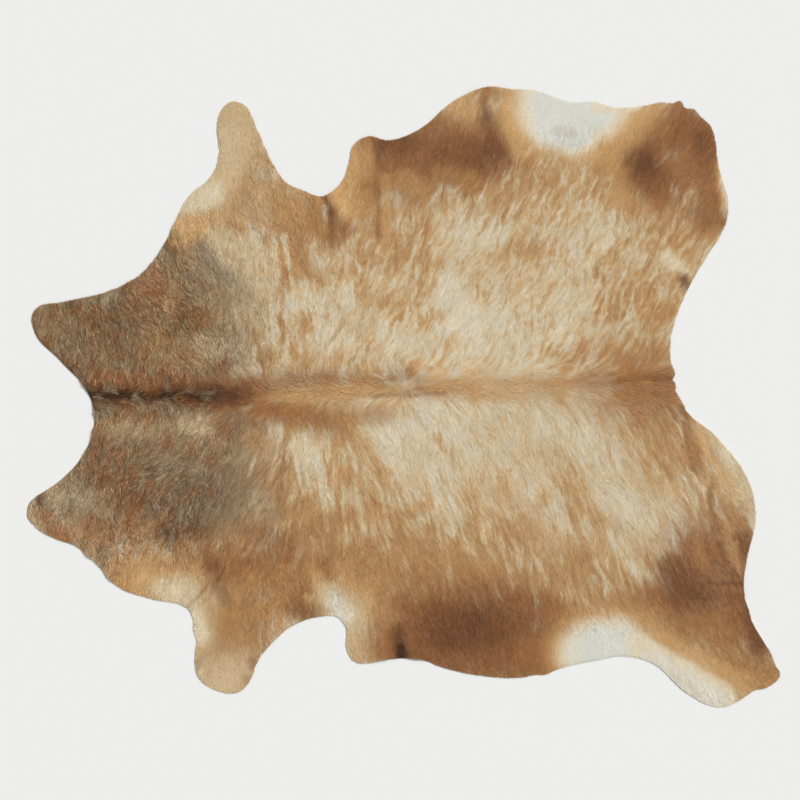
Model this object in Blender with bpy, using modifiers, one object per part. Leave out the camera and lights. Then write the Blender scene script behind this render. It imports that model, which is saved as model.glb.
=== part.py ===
"""Cowhide rug: one tanned cattle hide lying hair side up on a flat surface.

The hide is a single leather sheet with its natural outline: a hollow neck edge between two cheeks,
two foreleg stubs, two hind leg stubs and a notched tail edge. It lies flat apart from low creases,
which lift both of its faces off the surface together.

Frame: metres, +X along the back from the neck to the tail, +Y towards the hide's far side, +Z up.
The origin is under the middle of the hide, at the height of the surface that it lies on.
"""
from collections import namedtuple

import bmesh
import bpy
import numpy as np
from mathutils.geometry import delaunay_2d_cdt

MILLIMETRE = 0.001

# Driving dimensions, in metres: the leather's thickness, and how far apart the surface's points lie
LEATHER = 0.0030
RIM_STEP = 0.022
RIM_CLEARANCE = 0.010
FIELD_STEP = 0.080
RIDGE_STEP = 0.025
POINT_CLEARANCE = 0.007

# Rows of points along a ridge, as shares of its reach on both sides of its crest
RIDGE_ROWS = (-1.0, -0.7, -0.4, -0.15, 0.15, 0.4, 0.7, 1.0)
# Steps of the cut edge's curve between two places of its tables
CURVE_STEPS = 12

COAT_COLOUR = (0.52, 0.37, 0.23, 1.0)
COAT_ROUGHNESS = 0.75

# A place on the hide, in millimetres: along the back from its middle towards the tail, and across
# the back, towards the far side where it is positive
Place = namedtuple("Place", "along across")

# The cut edge, one short table for each stretch, in order round the hide
NECK_EDGE = [
    Place(-1130, -345),
    Place(-1115, -310),
    Place(-1080, -285),
    Place(-1030, -250),
    Place(-960, -170),
    Place(-928, -70),
    Place(-950, 15),
    Place(-1030, 107),
    Place(-1110, 200),
]
FAR_SHOULDER = [
    Place(-1105, 260),
    Place(-1025, 282),
    Place(-885, 315),
    Place(-820, 345),
    Place(-775, 378),
    Place(-710, 470),
]
FAR_FORELEG = [
    Place(-645, 598),
    Place(-572, 668),
    Place(-552, 740),
    Place(-559, 790),
    Place(-536, 872),
    Place(-506, 885),
    Place(-480, 876),
    Place(-443, 806),
    Place(-383, 678),
    Place(-344, 635),
]
FAR_ARMPIT = [
    Place(-300, 617),
    Place(-250, 599),
    Place(-185, 642),
    Place(-162, 705),
    Place(-150, 753),
    Place(-104, 780),
    Place(-50, 768),
]
FAR_BELLY = [
    Place(50, 803),
    Place(145, 882),
    Place(200, 912),
    Place(256, 929),
    Place(320, 922),
    Place(395, 918),
    Place(508, 882),
    Place(568, 884),
    Place(634, 867),
    Place(709, 870),
]
FAR_HIND_LEG = [
    Place(778, 882),
    Place(810, 880),
    Place(832, 886),
    Place(844, 864),
    Place(872, 861),
    Place(890, 840),
    Place(920, 811),
    Place(943, 695),
    Place(973, 551),
]
FAR_RUMP = [
    Place(950, 486),
    Place(889, 386),
    Place(830, 271),
    Place(802, 185),
    Place(802, 98),
    Place(813, 66),
]
TAIL_NOTCH = [
    Place(803, 50),
    Place(814, 40),
    Place(815, 14),
    Place(832, -12),
    Place(844, -37),
]
NEAR_RUMP = [
    Place(943, -124),
    Place(1021, -228),
    Place(1055, -349),
    Place(1028, -490),
    Place(1019, -556),
    Place(1022, -601),
    Place(1032, -628),
    Place(1039, -658),
]
NEAR_HIND_LEG = [
    Place(1099, -767),
    Place(1118, -809),
    Place(1130, -828),
    Place(1093, -870),
    Place(1057, -878),
    Place(1015, -906),
    Place(952, -930),
    Place(850, -886),
]
NEAR_BELLY = [
    Place(754, -802),
    Place(661, -778),
    Place(589, -788),
    Place(451, -821),
    Place(427, -833),
    Place(397, -833),
    Place(358, -841),
    Place(235, -836),
    Place(118, -811),
    Place(55, -788),
    Place(-62, -788),
]
NEAR_ARMPIT = [
    Place(-119, -800),
    Place(-152, -790),
    Place(-167, -763),
    Place(-176, -682),
    Place(-194, -661),
    Place(-230, -656),
    Place(-332, -685),
    Place(-386, -728),
]
NEAR_FORELEG = [
    Place(-432, -781),
    Place(-482, -877),
    Place(-515, -889),
    Place(-557, -881),
    Place(-612, -844),
    Place(-623, -760),
    Place(-618, -727),
    Place(-631, -700),
    Place(-630, -667),
    Place(-640, -640),
]
NEAR_SHOULDER = [
    Place(-761, -604),
    Place(-854, -570),
    Place(-923, -498),
    Place(-992, -442),
    Place(-1034, -429),
    Place(-1112, -382),
]
EDGE_STRETCHES = [
    NECK_EDGE,
    FAR_SHOULDER,
    FAR_FORELEG,
    FAR_ARMPIT,
    FAR_BELLY,
    FAR_HIND_LEG,
    FAR_RUMP,
    TAIL_NOTCH,
    NEAR_RUMP,
    NEAR_HIND_LEG,
    NEAR_BELLY,
    NEAR_ARMPIT,
    NEAR_FORELEG,
    NEAR_SHOULDER,
]

# A ridge in the hide, in millimetres: it stands highest where it starts, mostly at the cut edge,
# and dies out where it ends. Its reach is how far its foot lies from its crest, on both sides.
Ridge = namedtuple("Ridge", "along across end_along end_across reach height")

# The groove down the neck lies between two ridges, and so does the one that runs to the tail
BACK_RIDGES = [
    Ridge(-941, 35, -521, 26, 38, 6.0),
    Ridge(-932, -43, -521, -28, 38, 5.0),
    Ridge(808, 77, 589, 70, 26, 5.0),
    Ridge(816, 23, 589, 30, 26, 5.0),
    Ridge(25, 26, -221, 5, 18, 4.0),
]
# Waves at the cut edge of the far side, from the shoulder round to the hind leg
FAR_RIDGES = [
    Ridge(-683, 506, -611, 404, 32, 7.0),
    Ridge(-275, 602, -257, 485, 26, 5.0),
    Ridge(-212, 611, -185, 440, 36, 9.0),
    Ridge(-113, 773, -116, 515, 24, 5.0),
    Ridge(-59, 764, -59, 545, 22, 4.0),
    Ridge(208, 908, 223, 770, 32, 5.0),
    Ridge(289, 920, 313, 770, 32, 5.0),
    Ridge(859, 851, 805, 770, 26, 5.0),
]
# Waves at the cut edge of the near side, from the cheek round to the hind leg
NEAR_RIDGES = [
    Ridge(-1112, -310, -1061, -349, 24, 4.0),
    Ridge(-947, -475, -923, -390, 26, 5.0),
    Ridge(-881, -541, -845, -450, 32, 5.0),
    Ridge(-515, -622, -527, -445, 30, 4.0),
    Ridge(-62, -784, -65, -610, 48, 9.0),
    Ridge(37, -784, 31, -655, 42, 6.0),
    Ridge(1018, -523, 889, -529, 30, 5.0),
    Ridge(1024, -592, 904, -586, 30, 5.0),
    Ridge(1081, -868, 994, -814, 30, 5.0),
]


def clear_scene():
    """Remove the objects that a new file opens with."""
    for thing in list(bpy.data.objects):
        bpy.data.objects.remove(thing, do_unlink=True)


def new_collection(name):
    """Return a new collection in the scene."""
    collection = bpy.data.collections.new(name)
    bpy.context.scene.collection.children.link(collection)
    return collection


def edge_guide(collection):
    """Return the cut edge as a closed Bezier curve whose handles make it run smoothly."""
    places = [place for stretch in EDGE_STRETCHES for place in stretch]
    curve = bpy.data.curves.new("cut_edge", "CURVE")
    curve.dimensions = "2D"
    curve.fill_mode = "NONE"
    curve.resolution_u = CURVE_STEPS
    spline = curve.splines.new("BEZIER")
    spline.bezier_points.add(len(places) - 1)
    for point, place in zip(spline.bezier_points, places):
        point.co = (place.along * MILLIMETRE, place.across * MILLIMETRE, 0.0)
        point.handle_left_type = "AUTO"
        point.handle_right_type = "AUTO"
    spline.use_cyclic_u = True
    guide = bpy.data.objects.new("cut_edge", curve)
    guide.hide_render = True
    guide.display_type = "WIRE"
    collection.objects.link(guide)
    return guide


def rim_points(guide):
    """Return points along the guide, about RIM_STEP apart, with every table place kept."""
    bpy.context.view_layer.update()
    evaluated = guide.evaluated_get(bpy.context.evaluated_depsgraph_get())
    wire = bpy.data.meshes.new_from_object(evaluated)
    fine = np.array([vertex.co[:2] for vertex in wire.vertices])
    bpy.data.meshes.remove(wire)
    spans = fine.reshape(-1, CURVE_STEPS, 2)
    rim = []
    for span, after in zip(spans, np.roll(spans, -1, axis=0)):
        path = np.vstack([span, after[:1]])
        run = np.concatenate([[0.0], np.linalg.norm(np.diff(path, axis=0), axis=1).cumsum()])
        pieces = max(1, round(run[-1] / RIM_STEP))
        stops = np.linspace(0.0, run[-1], pieces + 1)[:-1]
        rim.append(np.stack([np.interp(stops, run, path[:, axis]) for axis in (0, 1)], axis=1))
    return np.vstack(rim)


def inside(points, rim):
    """Tell which points lie inside the rim, by how often a ray from each crosses it."""
    start, end = rim, np.roll(rim, -1, axis=0)
    x, y = points[:, :1], points[:, 1:]
    spans = (start[:, 1] > y) != (end[:, 1] > y)
    rise = np.where(start[:, 1] == end[:, 1], 1.0, end[:, 1] - start[:, 1])
    crossing = start[:, 0] + (y - start[:, 1]) / rise * (end[:, 0] - start[:, 0])
    return (spans & (x < crossing)).sum(axis=1) % 2 == 1


def distance_to_path(points, path):
    """Return how far each point lies from a row of straight pieces, and how far along it that is."""
    start, step = path[:-1], np.diff(path, axis=0)
    offset = points[:, None, :] - start
    share = np.clip((offset * step).sum(axis=2) / (step ** 2).sum(axis=1), 0.0, 1.0)
    gap = np.linalg.norm(offset - share[..., None] * step, axis=2)
    nearest = gap.argmin(axis=1)
    rows = np.arange(len(points))
    return gap[rows, nearest], (nearest + share[rows, nearest]) / len(step)


def ridge_path(ridge):
    """Return a ridge's crest from its start to its end, in metres."""
    return np.array([[ridge.along, ridge.across], [ridge.end_along, ridge.end_across]]) * MILLIMETRE


def lift(points):
    """Return how high the underside lies above the surface: the sum of the ridges.

    Across its crest a ridge has the form (1 - (distance / reach)^2)^2, and along it the height
    falls with the cosine from full to nothing.
    """
    height = np.zeros(len(points))
    for ridge in BACK_RIDGES + FAR_RIDGES + NEAR_RIDGES:
        gap, share = distance_to_path(points, ridge_path(ridge))
        across = np.clip(1.0 - (gap / (ridge.reach * MILLIMETRE)) ** 2, 0.0, None) ** 2
        along = 0.5 + 0.5 * np.cos(np.pi * share)
        height += ridge.height * MILLIMETRE * across * along
    return height


def ridge_points(ridge):
    """Return rows of points that run along a ridge, from its foot on one side to the other."""
    path = ridge_path(ridge)
    length = np.linalg.norm(path[1] - path[0])
    direction = (path[1] - path[0]) / length
    sideways = np.array([-direction[1], direction[0]])
    stops = np.arange(0.0, length + RIDGE_STEP, RIDGE_STEP)
    offsets = np.array(RIDGE_ROWS) * ridge.reach * MILLIMETRE
    grid = path[0] + stops[:, None, None] * direction + offsets[None, :, None] * sideways
    return grid.reshape(-1, 2)


def field_points(rim):
    """Return an even triangular grid of points over the hide's whole extent."""
    low, high = rim.min(axis=0), rim.max(axis=0)
    rows = np.arange(low[1], high[1], FIELD_STEP * np.sqrt(0.75))
    columns = np.arange(low[0], high[0] + FIELD_STEP, FIELD_STEP)
    x, y = np.meshgrid(columns, rows)
    x[1::2] -= FIELD_STEP / 2
    return np.stack([x.ravel(), y.ravel()], axis=1)


def thinned(points, clearance):
    """Return the points without those that lie within the clearance of an earlier one."""
    kept = np.empty((0, 2))
    for point in points:
        if len(kept) == 0 or np.linalg.norm(kept - point, axis=1).min() > clearance:
            kept = np.vstack([kept, point])
    return kept


def inner_points(rim):
    """Return the points inside the rim: close together along the ridges and sparse elsewhere."""
    ridges = BACK_RIDGES + FAR_RIDGES + NEAR_RIDGES
    on_ridges = thinned(np.vstack([ridge_points(ridge) for ridge in ridges]), POINT_CLEARANCE)
    field = field_points(rim)
    for ridge in ridges:
        gap, _ = distance_to_path(field, ridge_path(ridge))
        field = field[gap > ridge.reach * MILLIMETRE + FIELD_STEP / 4]
    points = np.vstack([on_ridges, field])
    points = points[inside(points, rim)]
    gap, _ = distance_to_path(points, np.vstack([rim, rim[:1]]))
    return points[gap > RIM_CLEARANCE]


def leather_material():
    """Return the hide's material."""
    material = bpy.data.materials.new("hide")
    material.use_nodes = True
    shader = material.node_tree.nodes["Principled BSDF"]
    shader.inputs["Base Color"].default_value = COAT_COLOUR
    shader.inputs["Roughness"].default_value = COAT_ROUGHNESS
    shader.inputs["Metallic"].default_value = 0.0
    return material


def make_hide(guide, collection):
    """Build the hide: its underside as one surface, and the leather's thickness added above it."""
    rim = rim_points(guide)
    inner = inner_points(rim)
    middle = (rim.min(axis=0) + rim.max(axis=0)) / 2
    flat = np.vstack([rim, inner])
    border = [(index, (index + 1) % len(rim)) for index in range(len(rim))]
    plan, _, triangles, *_ = delaunay_2d_cdt([tuple(point) for point in flat], border, [], 1, 1e-7)
    plan = np.array([tuple(point) for point in plan])
    heights = lift(plan)

    surface = bmesh.new()
    corners = [surface.verts.new((*place, height)) for place, height in zip(plan - middle, heights)]
    for triangle in triangles:
        surface.faces.new([corners[index] for index in triangle])
    bmesh.ops.delete(surface, geom=[v for v in surface.verts if not v.link_faces], context="VERTS")
    for face in surface.faces:
        if face.normal.z < 0.0:
            face.normal_flip()
    mesh = bpy.data.meshes.new("hide")
    surface.to_mesh(mesh)
    surface.free()

    hide = bpy.data.objects.new("hide", mesh)
    hide.data.materials.append(leather_material())
    thickness = hide.modifiers.new("leather", "SOLIDIFY")
    thickness.thickness = LEATHER
    thickness.offset = 1.0
    thickness.use_even_offset = True
    hide.data.shade_smooth()
    collection.objects.link(hide)
    return hide


def main():
    """Build the rug."""
    clear_scene()
    guides = new_collection("guides")
    rug = new_collection("cowhide_rug")
    make_hide(edge_guide(guides), rug)


main()
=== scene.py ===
"""Looks of the cowhide rug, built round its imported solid.

The rug is one tanned cattle hide with the hair on, lying flat and seen from straight above. Lengths
are in metres unless a table says otherwise. The tables of places are in millimetres: along the back
from its middle towards the tail, and across it, towards the far side where positive.
"""
from collections import namedtuple

import bpy
import numpy as np
from mathutils.geometry import delaunay_2d_cdt
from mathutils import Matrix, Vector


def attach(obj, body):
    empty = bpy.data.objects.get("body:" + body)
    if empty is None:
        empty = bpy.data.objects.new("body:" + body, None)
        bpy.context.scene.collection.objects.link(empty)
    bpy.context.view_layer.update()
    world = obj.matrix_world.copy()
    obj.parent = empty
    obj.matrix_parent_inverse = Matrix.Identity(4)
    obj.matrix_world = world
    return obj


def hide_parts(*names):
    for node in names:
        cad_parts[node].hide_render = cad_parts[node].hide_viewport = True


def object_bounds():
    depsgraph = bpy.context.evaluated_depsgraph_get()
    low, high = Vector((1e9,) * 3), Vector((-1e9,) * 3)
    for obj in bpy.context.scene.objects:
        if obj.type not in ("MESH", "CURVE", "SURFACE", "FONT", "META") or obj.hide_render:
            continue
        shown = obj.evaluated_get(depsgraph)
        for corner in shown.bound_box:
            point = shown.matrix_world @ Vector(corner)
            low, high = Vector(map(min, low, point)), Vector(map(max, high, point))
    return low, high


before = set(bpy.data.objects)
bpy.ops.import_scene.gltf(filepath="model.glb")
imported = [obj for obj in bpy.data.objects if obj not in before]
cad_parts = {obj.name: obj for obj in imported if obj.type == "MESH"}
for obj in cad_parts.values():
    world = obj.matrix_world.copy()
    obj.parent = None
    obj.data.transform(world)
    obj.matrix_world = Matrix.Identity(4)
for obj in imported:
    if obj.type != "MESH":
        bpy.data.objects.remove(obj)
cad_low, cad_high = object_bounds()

# The camera
# The photograph looks straight down on the hide. At the height of the coat's top its width spans
# 2.4 m, which is 3 mm a pixel.
PICTURE_SPAN = 2.4
PICTURE_MIDDLE = (-0.011, -0.0095)
COAT_TOP = 0.008
LENS = 85.0
SENSOR = 36.0

camera_data = bpy.data.cameras.new("photo_camera")
camera_data.lens = LENS
camera_data.sensor_width = SENSOR
camera = bpy.data.objects.new("photo_camera", camera_data)
camera.location = (*PICTURE_MIDDLE, COAT_TOP + PICTURE_SPAN * LENS / SENSOR)
bpy.context.scene.collection.objects.link(camera)
bpy.context.scene.camera = camera

# The tanned leather
# One sheet of leather 3 mm thick, cut at the neck, the four leg stubs and the tail. It lies flat but
# for low waves at its cut edge, a groove down the neck and small wrinkles, which lift both faces.
MILLIMETRE = 0.001
LEATHER = 0.003
# The model's middle lies half a millimetre off the middle of the tables
TABLE_SHIFT = (0.0, 0.0005)
# How many pieces a side of the solid's edge is parted into, and how far apart a face's points lie
EDGE_PARTS = 3
UPPER_STEP = 0.009
UNDER_STEP = 0.024

# A ridge stands highest where it starts, mostly at the cut edge, and dies out where it ends. Its
# reach is how far its foot lies from its crest, on both sides.
Ridge = namedtuple("Ridge", "along across end_along end_across reach height")

BACK_RIDGES = [
    Ridge(-941, 35, -521, 26, 38, 6.0),
    Ridge(-932, -43, -521, -28, 38, 5.0),
    Ridge(808, 77, 589, 70, 26, 5.0),
    Ridge(816, 23, 589, 30, 26, 5.0),
    Ridge(25, 26, -221, 5, 18, 4.0),
]
FAR_RIDGES = [
    Ridge(-683, 506, -611, 404, 32, 7.0),
    Ridge(-275, 602, -257, 485, 26, 5.0),
    Ridge(-212, 611, -185, 440, 36, 9.0),
    Ridge(-113, 773, -116, 515, 24, 5.0),
    Ridge(-59, 764, -59, 545, 22, 4.0),
    Ridge(208, 908, 223, 770, 32, 5.0),
    Ridge(289, 920, 313, 770, 32, 5.0),
    Ridge(859, 851, 805, 770, 26, 5.0),
]
NEAR_RIDGES = [
    Ridge(-1112, -310, -1061, -349, 24, 4.0),
    Ridge(-947, -475, -923, -390, 26, 5.0),
    Ridge(-881, -541, -845, -450, 32, 5.0),
    Ridge(-515, -622, -527, -445, 30, 4.0),
    Ridge(-62, -784, -65, -610, 48, 9.0),
    Ridge(37, -784, 31, -655, 42, 6.0),
    Ridge(1018, -523, 889, -529, 30, 5.0),
    Ridge(1024, -592, 904, -586, 30, 5.0),
    Ridge(1081, -868, 994, -814, 30, 5.0),
]
# Small wrinkles, too narrow for the solid
WRINKLES = [
    Ridge(-660, -625, -575, -535, 12, 2.2),
    Ridge(-640, -640, -560, -570, 12, 2.0),
    Ridge(-190, -600, -168, -655, 13, 2.2),
    Ridge(-150, -600, -172, -650, 12, 2.0),
    Ridge(-258, 590, -235, 520, 14, 2.0),
    Ridge(-20, -770, -24, -690, 16, 2.5),
    Ridge(70, -775, 64, -700, 16, 2.0),
    Ridge(240, 905, 262, 800, 18, 2.5),
    Ridge(1020, -552, 930, -556, 12, 2.0),
    Ridge(640, 75, 560, 72, 14, 1.5),
    Ridge(320, -830, 322, -780, 12, 1.8),
    Ridge(365, -832, 362, -785, 12, 1.8),
]
RIDGES = BACK_RIDGES + FAR_RIDGES + NEAR_RIDGES + WRINKLES


def gap_to_row(x, y, row):
    """Return how far places lie from a row's straight line, and how far along the line that is.

    The line runs from the row's first place to its second, both in millimetres, and the nearest
    point of it is the places' projection, kept between its ends.
    """
    start_x, start_y, end_x, end_y = np.array(row[:4]) * MILLIMETRE
    step_x, step_y = end_x - start_x, end_y - start_y
    run = max(step_x ** 2 + step_y ** 2, 1e-12)
    share = np.clip(((x - start_x) * step_x + (y - start_y) * step_y) / run, 0.0, 1.0)
    return np.hypot(x - start_x - share * step_x, y - start_y - share * step_y), share


def lift(x, y):
    """Return how high the leather's underside lies at places of the tables: the sum of the ridges.

    Across its crest a ridge has the form (1 - (gap / reach)^2)^2, and along it the height falls
    with the cosine from full to nothing.
    """
    height = np.zeros_like(x)
    for ridge in RIDGES:
        gap, share = gap_to_row(x, y, ridge)
        across = np.clip(1.0 - (gap / (ridge.reach * MILLIMETRE)) ** 2, 0.0, None) ** 2
        height += ridge.height * MILLIMETRE * across * (0.5 + 0.5 * np.cos(np.pi * share))
    return height


def cut_edge(node):
    """Return the points of the hide's cut edge and the pairs of them that its straight pieces join.

    The edge is where a side of a face of the solid's underside is shared with no other such face.
    Each side is parted by the Catmull-Rom curve through its two ends and their neighbours.
    """
    mesh = node.data
    mesh.calc_loop_triangles()
    places = np.empty(len(mesh.vertices) * 3)
    mesh.vertices.foreach_get("co", places)
    corners = np.empty(len(mesh.loop_triangles) * 3, dtype=np.int32)
    mesh.loop_triangles.foreach_get("vertices", corners)
    places, merged = np.unique(places.reshape(-1, 3).round(6), axis=0, return_inverse=True)
    corners = merged.reshape(-1)[corners].reshape(-1, 3)
    first, second, third = places[corners].transpose(1, 0, 2)
    normal = np.cross(second - first, third - first)
    under = corners[normal[:, 2] < -0.5 * np.linalg.norm(normal, axis=1)]
    sides = np.concatenate([under[:, [0, 1]], under[:, [1, 2]], under[:, [2, 0]]])
    forth = sides[:, 0] * len(places) + sides[:, 1]
    back = sides[:, 1] * len(places) + sides[:, 0]
    sides = sides[~np.isin(forth, back)]
    after = np.zeros(len(places), dtype=int)
    before = np.zeros(len(places), dtype=int)
    starting = np.zeros(len(places), dtype=int)
    after[sides[:, 0]] = sides[:, 1]
    before[sides[:, 1]] = sides[:, 0]
    starting[sides[:, 0]] = np.arange(len(sides))
    start, end = sides.T
    p0, p1, p2, p3 = (places[index, None, :2] for index in (before[start], start, end, after[end]))
    t = (np.arange(EDGE_PARTS) / EDGE_PARTS)[None, :, None]
    curve = p1 + 0.5 * t * (p2 - p0 + t * (2 * p0 - 5 * p1 + 4 * p2 - p3
                                           + t * (3 * p1 - p0 - 3 * p2 + p3)))
    points = curve.reshape(-1, 2)
    here = np.arange(len(points))
    there = here + 1
    there[EDGE_PARTS - 1::EDGE_PARTS] = EDGE_PARTS * starting[end]
    return points, np.stack([here, there], axis=1)


def gap_to_edge(x, y, points, pieces):
    """Return how far inside the cut edge places lie, in metres, and below nothing outside it.

    The gap is the least distance to a straight piece, and a place is inside where a line to its
    right crosses the pieces an odd number of times.
    """
    start, end = points[pieces[:, 0]], points[pieces[:, 1]]
    step = end - start
    run = (step ** 2).sum(axis=1)
    rise = np.where(step[:, 1] == 0.0, 1.0, step[:, 1])
    gaps = []
    for some_x, some_y in zip(np.array_split(x.ravel(), 100), np.array_split(y.ravel(), 100)):
        dx, dy = some_x[:, None] - start[:, 0], some_y[:, None] - start[:, 1]
        share = np.clip((dx * step[:, 0] + dy * step[:, 1]) / run, 0.0, 1.0)
        gap = np.hypot(dx - share * step[:, 0], dy - share * step[:, 1]).min(axis=1)
        spans = (start[:, 1] > some_y[:, None]) != (end[:, 1] > some_y[:, None])
        crossed = dx < dy / rise * step[:, 0]
        inside = (spans & crossed).sum(axis=1) % 2 == 1
        gaps.append(np.where(inside, gap, -gap))
    return np.concatenate(gaps).reshape(x.shape)


def read_chart(chart, low, cell, x, y):
    """Return a chart's values at places between its cells, weighted by how near the four cells are."""
    column = np.clip((x - low[0]) / cell, 0.0, chart.shape[1] - 1.001)
    row = np.clip((y - low[1]) / cell, 0.0, chart.shape[0] - 1.001)
    left, lower = column.astype(int), row.astype(int)
    right_share, upper_share = column - left, row - lower
    if chart.ndim == 3:
        right_share, upper_share = right_share[..., None], upper_share[..., None]
    below = chart[lower, left] * (1.0 - right_share) + chart[lower, left + 1] * right_share
    above = chart[lower + 1, left] * (1.0 - right_share) + chart[lower + 1, left + 1] * right_share
    return below * (1.0 - upper_share) + above * upper_share


def lattice(step):
    """Return an even triangular lattice of places over the hide's whole extent."""
    rows = np.arange(cad_low[1], cad_high[1], step * np.sqrt(0.75))
    columns = np.arange(cad_low[0], cad_high[0] + step, step)
    x, y = np.meshgrid(columns, rows)
    x[1::2] -= step / 2
    return x.ravel(), y.ravel()


def filled_outline(points, pieces, step):
    """Return the places and triangles that fill the cut edge, the edge's own points first."""
    x, y = lattice(step)
    gap = read_chart(edge_chart, edge_chart_low, EDGE_CELL, x, y)
    keep = gap > 0.6 * step
    flat = np.vstack([points, np.stack([x[keep], y[keep]], axis=1)])
    plan, _, triangles, *_ = delaunay_2d_cdt(flat.tolist(), pieces.tolist(), [], 1, 1e-7)
    plan = np.array([tuple(place) for place in plan])
    triangles = np.array(triangles)
    first, second, third = plan[triangles].transpose(1, 0, 2)
    turned = np.cross(second - first, third - first) < 0.0
    triangles[turned] = triangles[turned][:, ::-1]
    return plan, triangles


edge_points, edge_pieces = cut_edge(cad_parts["hide"])
EDGE_CELL = 0.008
edge_chart_low = np.array(cad_low[:2]) - 0.03
edge_columns = np.arange(edge_chart_low[0], cad_high[0] + 0.03, EDGE_CELL)
edge_rows = np.arange(edge_chart_low[1], cad_high[1] + 0.03, EDGE_CELL)
edge_chart = gap_to_edge(*np.meshgrid(edge_columns, edge_rows), edge_points, edge_pieces)

upper, upper_faces = filled_outline(edge_points, edge_pieces, UPPER_STEP)
under, under_faces = filled_outline(edge_points, edge_pieces, UNDER_STEP)
assert np.abs(upper[:len(edge_points)] - edge_points).max() < 1e-6
assert np.abs(under[:len(edge_points)] - edge_points).max() < 1e-6

# The coat's lie
# Hair grows away from a crown in the middle of the back: rearwards and outwards behind it, forwards
# and outwards before it. It lies along the spine beside it, and swirls on the neck, where it is long.
CELL = 0.0025
CHART_MARGIN = 0.02
chart_low = np.array(cad_low[:2]) - CHART_MARGIN
chart_columns = np.arange(chart_low[0], cad_high[0] + CHART_MARGIN, CELL)
chart_rows = np.arange(chart_low[1], cad_high[1] + CHART_MARGIN, CELL)
chart_x, chart_y = np.meshgrid(chart_columns - TABLE_SHIFT[0], chart_rows - TABLE_SHIFT[1])

# The spine's places, along and across
SPINE_ALONG = (-930, -600, 25, 805)
SPINE_ACROSS = (-4, 0, 26, 50)

# How the hair lies in a zone on either side of the spine: the zone's middle line, along the back and
# out from the spine, and its reach, in millimetres; the hair's lean from straight outwards towards
# the tail, in degrees; its length in millimetres; and how coarse it is, from 0 sleek to 1 shaggy
Lie = namedtuple("Lie", "along out end_along end_out reach lean length coarse")
LIES = [
    Lie(-311, 150, -311, 900, 260, 2, 20, 0.25),
    Lie(-536, 100, -536, 800, 230, -12, 21, 0.45),
    Lie(-900, 60, -850, 450, 300, -16, 21, 0.9),
    Lie(-620, 90, -700, 330, 170, -24, 20, 0.9),
    Lie(-770, 230, -640, 250, 100, -50, 20, 1.0),
    Lie(-1060, 300, -1000, 330, 110, -6, 18, 0.8),
    Lie(-800, 520, -660, 560, 90, -10, 15, 0.3),
    Lie(-560, 640, -500, 860, 130, -4, 12, 0.15),
    Lie(-120, 700, -80, 780, 120, 4, 13, 0.2),
    Lie(60, 700, 330, 800, 150, 12, 13, 0.2),
    Lie(420, 840, 640, 860, 120, 8, 9, 0.0),
    Lie(430, 800, 560, 820, 90, 8, 9, 0.0),
    Lie(640, 760, 960, 900, 60, 30, 11, 0.05),
    Lie(760, 650, 1000, 740, 170, 26, 15, 0.2),
    Lie(640, 200, 900, 330, 260, 26, 18, 0.25),
    Lie(-571, 0, 4, 0, 95, -58, 20, 0.35),
    Lie(60, 0, 820, 0, 110, 58, 19, 0.25),
    Lie(-571, 0, -20, 0, 42, -82, 20, 0.4),
    Lie(60, 0, 820, 0, 45, 82, 20, 0.25),
    Lie(-941, 0, -590, 0, 40, 70, 16, 0.8),
]
# The lean, length and coarseness of the hair outside the zones
LEAN_BEHIND = 22.0
HAIR_LENGTH = 19.0
COARSENESS = 0.22


def smooth_step(t):
    """Return t kept from 0 to 1 and eased at both ends: 3t^2 - 2t^3."""
    t = np.clip(t, 0.0, 1.0)
    return t * t * (3.0 - 2.0 * t)


def soft_noise(draw, size):
    """Return even random heights over the chart, in soft spots of about the given size.

    White noise is blurred by a Gaussian in its frequencies, then brought to mean 0 and spread 1.
    """
    white = draw.standard_normal(chart_x.shape)
    waves_x = np.fft.rfftfreq(chart_x.shape[1], CELL)
    waves_y = np.fft.fftfreq(chart_x.shape[0], CELL)[:, None]
    kept = np.exp(-2.0 * (np.pi * size / 2.5) ** 2 * (waves_x ** 2 + waves_y ** 2))
    field = np.fft.irfft2(np.fft.rfft2(white) * kept, s=chart_x.shape)
    return (field - field.mean()) / field.std()


def combed(field, length):
    """Return a field smeared along the hair: its mean over a path of the length through each cell.

    The path follows the hair both ways from the cell, in steps of one cell.
    """
    total = field.copy()
    for way in (1.0, -1.0):
        column = np.broadcast_to(np.arange(field.shape[1], dtype=float), field.shape).copy()
        row = np.broadcast_to(np.arange(field.shape[0], dtype=float)[:, None], field.shape).copy()
        for _ in range(round(length / CELL / 2)):
            near = (row.round().astype(int), column.round().astype(int))
            column = np.clip(column + way * hair_x[near], 0, field.shape[1] - 1)
            row = np.clip(row + way * hair_y[near], 0, field.shape[0] - 1)
            total += field[row.round().astype(int), column.round().astype(int)]
    return (total - total.mean()) / total.std()


draw = np.random.default_rng(11)
spine = np.interp(chart_x / MILLIMETRE, SPINE_ALONG, SPINE_ACROSS) * MILLIMETRE
side = np.where(chart_y > spine, 1.0, -1.0)
out = np.abs(chart_y - spine)
lean = np.full(chart_x.shape, LEAN_BEHIND)
length_chart = np.full(chart_x.shape, HAIR_LENGTH)
coarse_chart = np.full(chart_x.shape, COARSENESS)
for zone in LIES:
    gap, _ = gap_to_row(chart_x, out, zone)
    weight = smooth_step(1.4 * (1.0 - gap / (zone.reach * MILLIMETRE)))
    lean += weight * (zone.lean - lean)
    length_chart += weight * (zone.length - length_chart)
    coarse_chart += weight * (zone.coarse - coarse_chart)
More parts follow.
